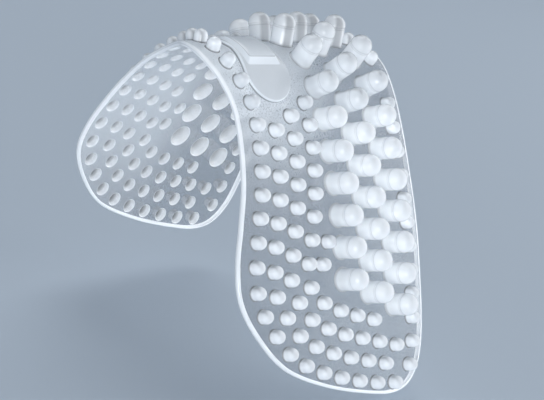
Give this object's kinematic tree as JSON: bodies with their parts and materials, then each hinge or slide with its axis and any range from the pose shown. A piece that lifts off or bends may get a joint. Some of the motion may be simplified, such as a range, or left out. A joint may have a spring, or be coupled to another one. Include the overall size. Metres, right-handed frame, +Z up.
{
  "type": "silicone heel grip",
  "caption": "Clear one-piece silicone heel grip with two rounded lobes, bent into an arch, its outer face set with round domes, tall pegs and a smooth tab.",
  "frame": {"origin": "the smooth inner face at the arch's highest point, on the pad's lengthwise centre line", "axes": "+Z up out of the arch, +Y across the pad towards its straighter edge, +X towards the flat lobe"},
  "size_m": [0.0703, 0.0538, 0.066],
  "materials": {
    "silicone": "clear, slightly frosted, glossy edge"
  },
  "bodies": {
    "root": {"grip_pad": "silicone"}
  },
  "joints": []
}
